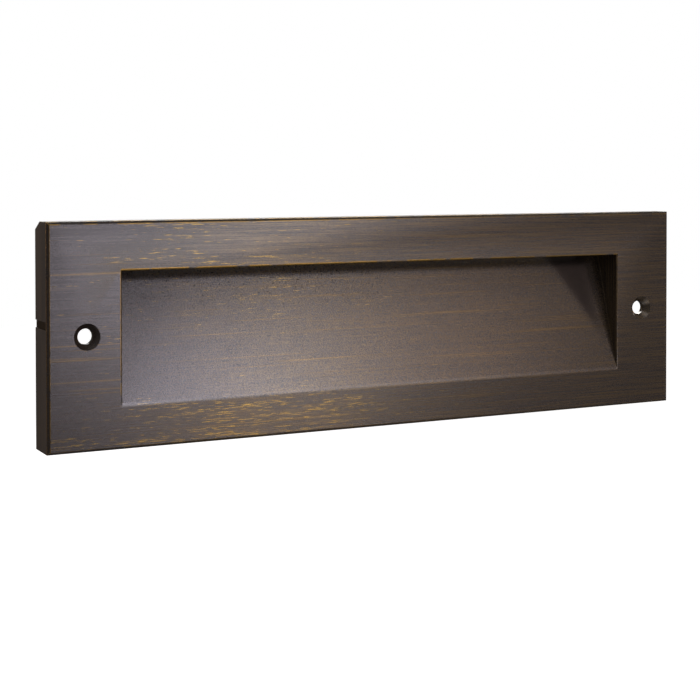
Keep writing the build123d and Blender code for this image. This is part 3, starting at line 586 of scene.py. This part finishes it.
# constants, darkest and lightest colour, roughness, and then speckle, cloud, bump and depth if not the usual
for name, constants, *looks in (
        ("black_silicone", {"Specular_IOR_Level": 0.2}, (0.004, 0.003, 0.004), (0.010, 0.009, 0.009),
         (0.7, 0.85)),
        ("thermal_pad", {}, (0.30, 0.31, 0.36), (0.40, 0.41, 0.47), (0.75, 0.9), 1400.0),
        ("white_nylon", {"Subsurface_Weight": 0.1}, (0.62, 0.61, 0.56), (0.74, 0.73, 0.68), (0.38, 0.52),
         1800.0, 90.0, 0.15, 0.02 * MM),
        ("black_epoxy", {}, (0.012, 0.012, 0.012), (0.026, 0.026, 0.026), (0.45, 0.62)),
        ("blue_varnish", {"Coat_Weight": 0.5, "Coat_Roughness": 0.12}, (0.010, 0.060, 0.22),
         (0.020, 0.100, 0.33), (0.18, 0.34), 700.0, 200.0, 0.4, 0.08 * MM),
        ("ferrite", {}, (0.022, 0.021, 0.020), (0.055, 0.052, 0.050), (0.5, 0.8), 3200.0, 150.0, 0.4),
        ("red_lead", {}, (0.36, 0.012, 0.010), (0.52, 0.024, 0.018), (0.36, 0.5), 900.0, 120.0),
        ("black_lead", {}, (0.012, 0.012, 0.013), (0.026, 0.026, 0.028), (0.36, 0.5), 900.0, 120.0),
        ("led_body", {}, (0.76, 0.76, 0.72), (0.85, 0.85, 0.82), (0.35, 0.5), 3000.0, 300.0),
        ("led_phosphor", {"Coat_Weight": 0.4, "Coat_Roughness": 0.15}, (0.78, 0.48, 0.05), (0.90, 0.62, 0.10),
         (0.3, 0.45), 5200.0, 500.0, 0.2, 0.02 * MM),
        ("tinned_ends", {"Metallic": 1.0}, (0.52, 0.52, 0.50), (0.68, 0.68, 0.66), (0.25, 0.4),
         3000.0, 300.0, 0.2, 0.02 * MM)):
    FINISHES[name] = plain_finish(name, *looks, **constants)


# ---- mesh helpers ----
def merged(node):
    """A merged copy of a CAD node's surface."""
    bm = bmesh.new()
    bm.from_mesh(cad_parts[node].data)
    bmesh.ops.remove_doubles(bm, verts=bm.verts, dist=MERGE_DISTANCE)
    return bm


def copied(node):
    """A merged copy of a CAD node's surface, with its flat faces joined up."""
    bm = merged(node)
    bmesh.ops.dissolve_limit(bm, angle_limit=radians(1.0), verts=bm.verts, edges=bm.edges)
    bm.normal_update()
    return bm


def fold(edge):
    """How far the surface turns over an edge, in degrees."""
    return edge.calc_face_angle(0.0) * 180 / pi


def longer_edges(bm, length, turn):
    """The edges between two faces that are longer and fold further, in degrees, than given."""
    return [e for e in bm.edges if len(e.link_faces) == 2 and e.calc_length() > length and fold(e) > turn]


def break_edges(bm, edges, width):
    """Softly broken edges; returns the new faces."""
    made = bmesh.ops.bevel(bm, geom=edges, offset=width, offset_type="OFFSET", segments=2, profile=0.5,
                           affect="EDGES", clamp_overlap=True)
    bm.normal_update()
    return made["faces"]


def placed(bm, name, node, finishes, smooth):
    """The finished piece in the scene: its mesh, its finishes, and what it stands for."""
    mesh = bpy.data.meshes.new(name)
    bm.to_mesh(mesh)
    bm.free()
    register(mesh, name, node, finishes, smooth)


replaced = set()  # the CAD nodes that finished pieces stand for


def register(mesh, name, node, finishes, smooth):
    """A mesh as a piece that rides on the body and stands for its CAD node, smooth up to so many degrees."""
    mesh.materials.clear()
    for finish in finishes:
        mesh.materials.append(FINISHES[finish])
    mesh.shade_smooth()
    mesh.set_sharp_from_angle(angle=radians(smooth))
    piece = bpy.data.objects.new(name, mesh)
    scene.collection.objects.link(piece)
    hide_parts(node)
    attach(piece, "root")
    replaced.add(node)


def solids_of(node):
    """Lowest and highest corner of each separate solid in a CAD node, in order along the light."""
    bm = merged(node)
    left, boxes = set(bm.verts), []
    while left:
        waiting, found = [left.pop()], []
        while waiting:
            vertex = waiting.pop()
            found.append(vertex.co.copy())
            for edge in vertex.link_edges:
                other = edge.other_vert(vertex)
                if other in left:
                    left.discard(other)
                    waiting.append(other)
        boxes.append(tuple(Vector(pick(p[i] for p in found) for i in range(3)) for pick in (min, max)))
    bm.free()
    return sorted(boxes, key=lambda box: (round(box[0].x, 5), round(box[0].z, 5)))


# ---- casting ----
def on_the_outside(face):
    """True for the casting's finished faces: all that shows once the light is on its wall."""
    x, y, z = face.calc_center_median()
    hull = abs(x) > HALF_LENGTH - FRONT_CHAMFER or abs(z) > HALF_HEIGHT - FRONT_CHAMFER
    front = y < FRONT_CHAMFER - DEPTH
    back_rim = y > -0.05 * MM
    slope_y = -DEPTH + (z - SCOOP_BOTTOM) * SCOOP_DEPTH / (SCOOP_TOP - SCOOP_BOTTOM)
    tiny = 0.02 * MM
    inside_mouth = abs(x) < SCOOP_HALF + tiny and SCOOP_BOTTOM - tiny < z < SCOOP_TOP + tiny
    scoop = inside_mouth and y < slope_y + tiny
    hole = Vector((abs(x) - HOLE_X, z)).length < HOLE_HEAD_RADIUS + tiny
    seal = z > HALF_HEIGHT - SEAL_BEVEL_HEIGHT - tiny and y > -SEAL_BEVEL_DEPTH - tiny and face.normal.z > 0.3
    return hull or front or back_rim or scoop or hole or seal


def rubbed(face):
    """How far an edge face is rubbed: most on top edges, some on left ones, little on the others."""
    x, _, z = face.calc_center_median()
    if abs(face.normal.z) <= 0.3 or abs(face.normal.x) >= 0.3:
        return 0.55 if x < 0 else 0.15
    if z <= 0:
        return 0.2
    return 0.9 if x < 60 * MM else 0.5


def build_casting():
    """The casting: its long outer edges softly broken and marked for wear, its slope and ends marked too."""
    bm = copied("body_casting")
    edge_mark, slope_mark, end_mark = [bm.faces.layers.float.new(name) for name in ("edge", "slope", "end")]
    outside = {face for face in bm.faces if on_the_outside(face)}
    for face in bm.faces:
        face.material_index = 0 if face in outside else 1
    for face in outside:
        x, y, z = face.calc_center_median()
        in_mouth = abs(x) < SCOOP_HALF + MM and SCOOP_BOTTOM - MM < z < SCOOP_TOP + MM
        at_the_front = y < 0.6 * MM - DEPTH
        if in_mouth and at_the_front and -0.9 < face.normal.y < -0.4:
            face[edge_mark] = rubbed(face)
        if face.normal.y < -0.9 and 0.2 < face.normal.z < 0.35:
            face[slope_mark] = 1.0
        if abs(face.normal.x) > 0.9:
            face[end_mark] = 1.0
    edges = [e for e in longer_edges(bm, 1.0 * MM, 12) if all(f in outside for f in e.link_faces)]
    for face in break_edges(bm, edges, 0.13 * MM):
        face[edge_mark] = rubbed(face)
        face[slope_mark] = 0.0
        face.material_index = 0
    placed(bm, "casting", "body_casting", ("bronzed_brass", "raw_brass_casting"), 11.0)


# ---- closing plate and rubber ----
def build_softened(node, name, slot, width, smooth):
    """A CAD piece again, with its longer sharp edges broken."""
    bm = copied(node)
    break_edges(bm, longer_edges(bm, 1.5 * MM, 40), width)
    placed(bm, name, node, (slot,), smooth)


# ---- small pieces that repeat ----
def rectangle(low_u, low_v, high_u, high_v):
    """The four corners of a rectangle, in order round it."""
    return (low_u, low_v), (high_u, low_v), (high_u, high_v), (low_u, high_v)


def ring(bm, axis, radius, middle, segments):
    """Points round a middle, square to an axis."""
    points = []
    for k in range(segments):
        a = 2 * pi * k / segments
        out = [radius * cos(a), radius * sin(a)]
        out.insert("XYZ".index(axis), 0.0)
        points.append(bm.verts.new([m + o for m, o in zip(middle, out)]))
    return points


def bridge(bm, first, second):
    """Faces between two loops of as many points."""
    for k, point in enumerate(first):
        after = (k + 1) % len(first)
        bm.faces.new((point, first[after], second[after], second[k]))


def loop_edges(bm, loop):
    """The edges that close a loop of points."""
    return [bm.edges.get((a, b)) or bm.edges.new((a, b)) for a, b in zip(loop, loop[1:] + loop[:1])]


def round_hole(bm, axis, radius, mouth, floor):
    """A blind round hole between the middles of its mouth and its floor; returns the edges of its rim."""
    rim, seat = [ring(bm, axis, radius, middle, 16) for middle in (mouth, floor)]
    bridge(bm, rim, seat)
    bm.faces.new(seat)
    return loop_edges(bm, rim)


def turned(bm, axis, profile, segments=24):
    """The wall of a turned piece from (radius, along) pairs, open at both ends; returns its loops."""
    loops = [ring(bm, axis, radius, [along if way == axis else 0.0 for way in "XYZ"], segments)
             for radius, along in profile]
    for first, second in zip(loops, loops[1:]):
        bridge(bm, first, second)
    return loops


def screw(head_radius, head_rim, head_depth, shank_radius, length, pitch, cross):
    """A screw down -Y from its face at zero: cross recess, head, thread and blunt tip."""
    half_arm, half_slot, recess = cross
    bm = bmesh.new()
    corner, step = 0.08 * MM, 0.02 * MM
    neck = head_depth if head_depth > head_rim else head_rim + step
    profile = [(head_radius - corner, 0.0), (head_radius, -corner), (head_radius, -head_rim),
               (shank_radius, -neck)]
    along = -max(head_depth, head_rim) - pitch
    while along > pitch - length:
        profile += [(shank_radius, along + 0.1 * pitch), (0.84 * shank_radius, along - 0.35 * pitch),
                    (0.84 * shank_radius, along - 0.5 * pitch)]
        along -= pitch
    profile += [(0.8 * shank_radius, -length + 0.15 * MM), (0.55 * shank_radius, -length)]
    loops = turned(bm, "Y", profile, 28)
    bm.faces.new(loops[-1])
    a, b, taper = half_arm, half_slot, 0.72
    outline = [(a, -b), (a, b), (b, b), (b, a), (-b, a), (-b, b),
               (-a, b), (-a, -b), (-b, -b), (-b, -a), (b, -a), (b, -b)]
    mouth = [bm.verts.new((u, 0.0, v)) for u, v in outline]
    floor = [bm.verts.new((taper * u, -recess, taper * v)) for u, v in outline]
    bridge(bm, mouth, floor)
    bm.faces.new(floor)
    bmesh.ops.triangle_fill(bm, use_beauty=True, edges=loop_edges(bm, loops[0]) + loop_edges(bm, mouth))
    bmesh.ops.recalc_face_normals(bm, faces=bm.faces)
    return bm


def rivet(head_radius, head_height, shank_radius, length):
    """A rivet up +Z from the crown of its domed head at zero."""
    bm = bmesh.new()
    dome = ((0.25, 0.0), (0.6, 0.12), (0.88, 0.4), (1.0, 0.8), (1.0, 1.0))
    profile = [(share * head_radius, part * head_height) for share, part in dome]
    profile += [(shank_radius, head_height + 0.02 * MM), (shank_radius, length - 0.2 * MM),
                (0.8 * shank_radius, length)]
    loops = turned(bm, "Z", profile)
    bm.faces.new(loops[0])
    bm.faces.new(loops[-1])
    bmesh.ops.recalc_face_normals(bm, faces=bm.faces)
    return bm


def block(bm, low, high, corner=0.0, mark=0.0):
    """A block with broken edges between two corners; its faces carry a mark."""
    layer = bm.faces.layers.float.get("second") or bm.faces.layers.float.new("second")
    made = bmesh.ops.create_cube(bm, size=1.0)["verts"]
    low, high = Vector(low), Vector(high)
    size, middle = high - low, (low + high) / 2
    for vertex in made:
        vertex.co = Vector(middle[i] + vertex.co[i] * size[i] for i in range(3))
    faces = {f for v in made for f in v.link_faces}
    if corner:
        edges = list({e for v in made for e in v.link_edges})
        made = bmesh.ops.bevel(bm, geom=edges, offset=corner, segments=1, profile=0.5, affect="EDGES")
        faces |= set(made["faces"])
    for face in faces:
        if face.is_valid:
            face[layer] = mark


def diode(size):
    """A diode that faces down: moulded frame round a sunken, softly crowned phosphor."""
    bm = bmesh.new()
    half = size / 2
    block(bm, -half, half, 0.08 * MM)
    layer = bm.faces.layers.float["second"]
    bm.normal_update()
    under = min(bm.faces, key=lambda f: f.calc_center_median().z - f.calc_area())
    frame_wall_and_crown = ((0.38 * MM, 0.0), (0.12 * MM, -0.12 * MM), (0.35 * MM, 0.05 * MM))
    for thickness, depth in frame_wall_and_crown:
        bmesh.ops.inset_individual(bm, faces=[under], thickness=thickness, depth=depth)
    for edge in under.edges:
        for face in edge.link_faces:
            face[layer] = 1.0
    return bm


def chip_resistor(size):
    """A chip resistor along Z with plated ends."""
    bm = bmesh.new()
    half = size / 2
    end, step = 0.5 * MM, 0.03 * MM
    block(bm, (step - half.x, step - half.y, end - half.z), (half.x - step, half.y - step, half.z - end))
    for sign in (-1, 1):
        low, high = sorted((sign * half.z, sign * (half.z - end)))
        block(bm, (-half.x, -half.y, low), (half.x, half.y, high), 0.05 * MM, 1.0)
    return bm


def lead_connector(size):
    """A push-in connector along X: two round mouths on each end, ribs on top."""
    bm = bmesh.new()
    half = size / 2
    mouth, spacing, sunk = 0.53 * MM, 0.625 * MM, 0.35 * MM
    ends = []
    for sign in (-1, 1):
        x = sign * half.x
        outer = [bm.verts.new((x, y, z)) for y, z in rectangle(-half.y, -half.z, half.y, half.z)]
        fill = loop_edges(bm, outer)
        for side in (-1, 1):
            middle = side * spacing
            fill += round_hole(bm, "X", mouth, (x, middle, 0.0), (x - sign * sunk, middle, 0.0))
        bmesh.ops.triangle_fill(bm, use_beauty=True, edges=fill)
        ends.append(outer)
    bridge(bm, *ends)
    rib, rise = 0.2 * MM, 0.25 * MM
    for x in (-MM, 0.0, MM):
        block(bm, (x - rib, -0.8 * half.y, -half.z), (x + rib, 0.8 * half.y, -half.z + rise), 0.04 * MM)
    bmesh.ops.recalc_face_normals(bm, faces=bm.faces)
    return bm


def set_out_tree():
    """Geometry Nodes: a piece set out on points, each turned by chance about one axis."""
    tree = bpy.data.node_groups.new("set_out_on_points", "GeometryNodeTree")
    sockets = (("Points", "Geometry"), ("Piece", "Object"), ("Axis", "Vector"), ("Largest turn", "Float"),
               ("Main finish", "Material"), ("Second finish", "Material"))
    for name, kind in sockets:
        tree.interface.new_socket(name, in_out="INPUT", socket_type="NodeSocket" + kind)
    tree.interface.new_socket("Set out", in_out="OUTPUT", socket_type="NodeSocketGeometry")
    given = tree.nodes.new("NodeGroupInput").outputs
    piece = add_node(tree, "GeometryNodeObjectInfo", {"Object": given["Piece"]})
    least = times(tree, given["Largest turn"], -1.0)
    values = {2: least, 3: given["Largest turn"], 8: SEED}
    angle = add_node(tree, "FunctionNodeRandomValue", values, data_type="FLOAT").outputs[1]
    values = {"Axis": given["Axis"], "Angle": angle}
    turn = add_node(tree, "FunctionNodeAxisAngleToRotation", values).outputs[0]
    values = {"Points": given["Points"], "Instance": piece.outputs["Geometry"], "Rotation": turn}
    copies = add_node(tree, "GeometryNodeInstanceOnPoints", values).outputs[0]
    shape = add_node(tree, "GeometryNodeRealizeInstances", {0: copies}).outputs[0]
    mark = add_node(tree, "GeometryNodeInputNamedAttribute", {"Name": "second"}, data_type="FLOAT").outputs[0]
    is_second = add_node(tree, "FunctionNodeCompare", {0: mark, 1: 0.5}, data_type="FLOAT",
                         operation="GREATER_THAN").outputs[0]
    for finish, chosen in (("Main finish", True), ("Second finish", is_second)):
        values = {"Geometry": shape, "Selection": chosen, "Material": given[finish]}
        shape = add_node(tree, "GeometryNodeSetMaterial", values).outputs[0]
    tree.links.new(shape, tree.nodes.new("NodeGroupOutput").inputs[0])
    return tree


SET_OUT = set_out_tree()


def set_out(name, node, pattern, spots, main, second=None, axis=(0, 1, 0), turn=0.0):
    """One mesh with a copy of the pattern piece at each spot, standing for a CAD node."""
    shape = bpy.data.meshes.new(name + "_pattern")
    pattern.to_mesh(shape)
    pattern.free()
    single = bpy.data.objects.new(name + "_pattern", shape)
    points = bpy.data.meshes.new(name + "_spots")
    points.from_pydata([tuple(spot) for spot in spots], [], [])
    carrier = bpy.data.objects.new(name + "_spots", points)
    for helper in (single, carrier):
        scene.collection.objects.link(helper)
    modifier = carrier.modifiers.new("set_out", "NODES")
    modifier.node_group = SET_OUT
    values = {"Piece": single, "Axis": axis, "Largest turn": float(turn), "Main finish": FINISHES[main],
              "Second finish": FINISHES[second or main]}
    for item in SET_OUT.interface.items_tree:
        if item.in_out == "INPUT" and item.name in values:
            modifier[item.identifier] = values[item.name]
    graph = bpy.context.evaluated_depsgraph_get()
    mesh = bpy.data.meshes.new_from_object(carrier.evaluated_get(graph))
    for helper in (single, carrier):
        bpy.data.objects.remove(helper)
    mesh.name = name
    finishes = [main] if second is None else [main, second]
    order = [next((k for k, f in enumerate(finishes) if FINISHES[f] == m), 0) for m in mesh.materials]
    indices = [order[polygon.material_index] for polygon in mesh.polygons]
    register(mesh, name, node, finishes, SMOOTH_UP_TO)
    for polygon, index in zip(mesh.polygons, indices):
        polygon.material_index = index


def middles(boxes):
    """The middle of each box."""
    return [(low + high) / 2 for low, high in boxes]


def build_fasteners():
    """Plate screws, board screws and rivets, each set out where its solids are."""
    # in mm: the head's rim and depth, the shank's radius, the pitch; the cross's half arm, half slot, depth
    for name, node, head_rim, head_depth, shank, pitch, cross in (
            ("closing_screws", "plate_screws", 0.15, 1.25, 1.25, 0.5, (1.3, 0.35, 0.7)),
            ("board_screws", "driver_board_screws", 0.95, 0.9, 0.95, 0.45, (1.0, 0.25, 0.5))):
        boxes = solids_of(node)
        low, high = boxes[0]
        pattern = screw((high.x - low.x) / 2, head_rim * MM, head_depth * MM, shank * MM, high.y - low.y,
                        pitch * MM, [size * MM for size in cross])
        spots = [(middle.x, box[1].y, middle.z) for middle, box in zip(middles(boxes), boxes)]
        set_out(name, node, pattern, spots, "stainless_steel", turn=pi)
    boxes = solids_of("board_rivets")
    low, high = boxes[0]
    pattern = rivet((high.x - low.x) / 2, 0.7 * MM, 1.0 * MM, high.z - low.z)
    spots = [(middle.x, middle.y, box[0].z) for middle, box in zip(middles(boxes), boxes)]
    set_out("light_bar_rivets", "board_rivets", pattern, spots, "aluminium", None, (0, 0, 1), pi)


def build_repeats():
    """Diodes, chip resistors and lead connectors."""
    for name, node, slot, make, main, second in (
            ("diodes", "led_packages", "led_phosphor", diode, "led_body", "led_phosphor"),
            ("resistors", "chip_resistors", "black_epoxy", chip_resistor, "black_epoxy", "tinned_ends"),
            ("bar_connectors", "lead_connectors", "white_nylon", lead_connector, "white_nylon", None)):
        boxes = solids_of(node)
        set_out(name, node, make(boxes[0][1] - boxes[0][0]), middles(boxes), main, second)


# ---- chips with legs ----
def build_chip(node, name, legs, leg_width, reach):
    """A moulded package with draft on its sides, a first-leg dimple and legs down to the board."""
    low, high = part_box(node)
    low, high = Vector(low), Vector(high)
    bm = bmesh.new()
    layer = bm.faces.layers.float.new("second")
    waist = (low.y + high.y) / 2
    draft, step = 0.12 * MM, 0.1 * MM
    loops = []
    for y, inset in ((high.y - step, draft), (waist, 0.0), (low.y + step, draft), (low.y, draft + step)):
        corners = rectangle(low.x + inset, low.z + inset, high.x - inset, high.z - inset)
        loops.append([bm.verts.new((x, y, z)) for x, z in corners])
    for first, second in zip(loops, loops[1:]):
        bridge(bm, first, second)
    bm.faces.new(loops[0])
    top = loop_edges(bm, loops[-1])
    radius, inward = 0.35 * MM, 0.9 * MM
    x, z = low.x + inward, high.z - inward
    dimple = round_hole(bm, "Y", radius, (x, low.y, z), (x, low.y + step, z))
    bmesh.ops.triangle_fill(bm, use_beauty=True, edges=top + dimple)
    bmesh.ops.recalc_face_normals(bm, faces=bm.faces)
    thick = 0.15 * MM
    pitch = (high.x - low.x) / legs
    for k in range(legs):
        x = low.x + (k + 0.5) * pitch
        for edge_z, out in ((low.z, -1), (high.z, 1)):
            shoulder, foot = edge_z + out * 0.45 * reach, edge_z + out * reach
            spans = ((edge_z - out * step, shoulder, waist - thick, waist),
                     (shoulder - out * thick, shoulder, waist - thick, high.y),
                     (shoulder - out * thick, foot, high.y - thick, high.y))
            for z_from, z_to, y_from, y_to in spans:
                z_low, z_high = sorted((z_from, z_to))
                block(bm, (x - leg_width / 2, y_from, z_low), (x + leg_width / 2, y_to, z_high), 0.0, 1.0)
    for face in bm.faces:
        face.material_index = 1 if face[layer] > 0.5 else 0
    placed(bm, name, node, ("black_epoxy", "tinned_ends"), 20.0)


def dress_the_rest():
    """Every CAD piece that still shows gets its own finish."""
    for node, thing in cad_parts.items():
        if node not in replaced:
            for place in thing.material_slots:
                place.material = FINISHES[place.material.name.split(".")[0]]


photograph_camera()
surroundings()
pale_floor()
for index, box in enumerate(SOFT_BOXES):
    soft_box("soft_box_%d" % index, *box)
build_casting()
build_softened("closing_plate", "back_plate", "satin_brass", 0.15 * MM, 13.0)
build_softened("lead_grommet", "grommet", "black_silicone", 0.2 * MM, 20.0)
build_fasteners()
build_repeats()
build_chip("driver_chip", "driver_chip_package", 4, 0.45 * MM, 0.9 * MM)
build_chip("bridge_rectifier", "rectifier_package", 2, 1.1 * MM, 0.9 * MM)
dress_the_rest()
